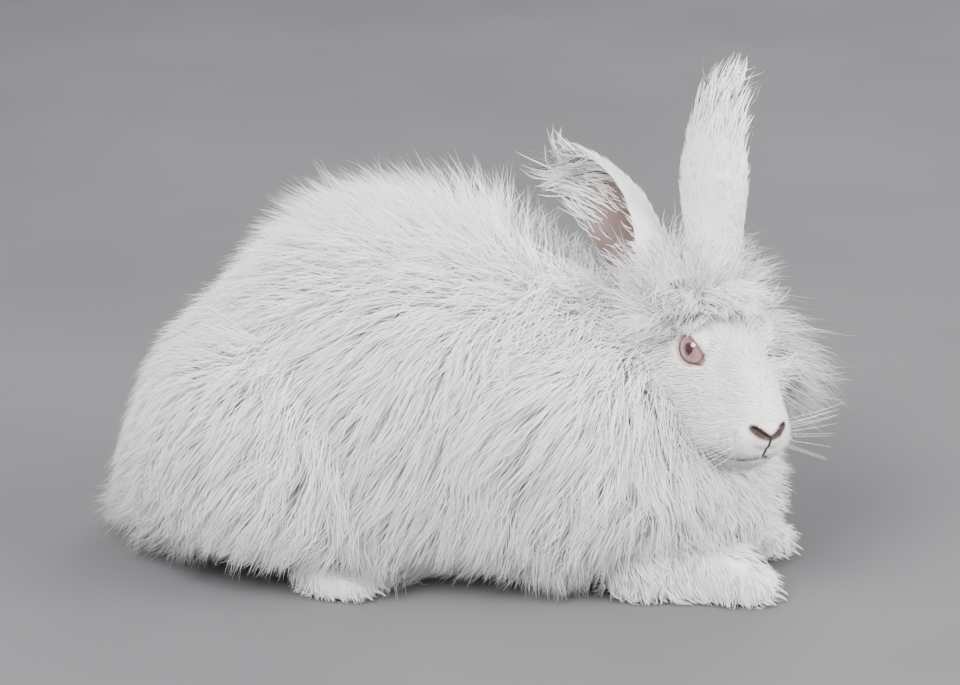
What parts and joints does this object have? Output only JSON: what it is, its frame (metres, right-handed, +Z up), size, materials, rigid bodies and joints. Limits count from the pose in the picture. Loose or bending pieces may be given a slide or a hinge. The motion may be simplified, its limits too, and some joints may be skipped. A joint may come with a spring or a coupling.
{
  "type": "angora rabbit",
  "caption": "Long-haired angora rabbit crouching on the floor with its head turned to one side, a still model in long white wool.",
  "frame": {"origin": "on the floor, under the middle of the animal's box", "axes": "+X from the rump towards the paws, +Y to the animal's left, +Z up"},
  "size_m": [0.421, 0.262, 0.2884],
  "materials": {
    "white_wool": "long, soft, fluffy white wool",
    "short_white_fur": "short, smooth white fur",
    "ear_skin": "thin ear under short white fur, faintly pink inside",
    "pink_eye": "wet, clear and pink"
  },
  "bodies": {
    "root": {"torso": "white_wool", "neck": "white_wool", "tail": "white_wool", "hind_leg_left": "white_wool", "hind_leg_right": "white_wool", "foreleg_left": "short_white_fur", "foreleg_right": "short_white_fur", "head": "short_white_fur", "ear_left": "ear_skin", "ear_right": "ear_skin", "eye_left": "pink_eye", "eye_right": "pink_eye"}
  },
  "joints": []
}
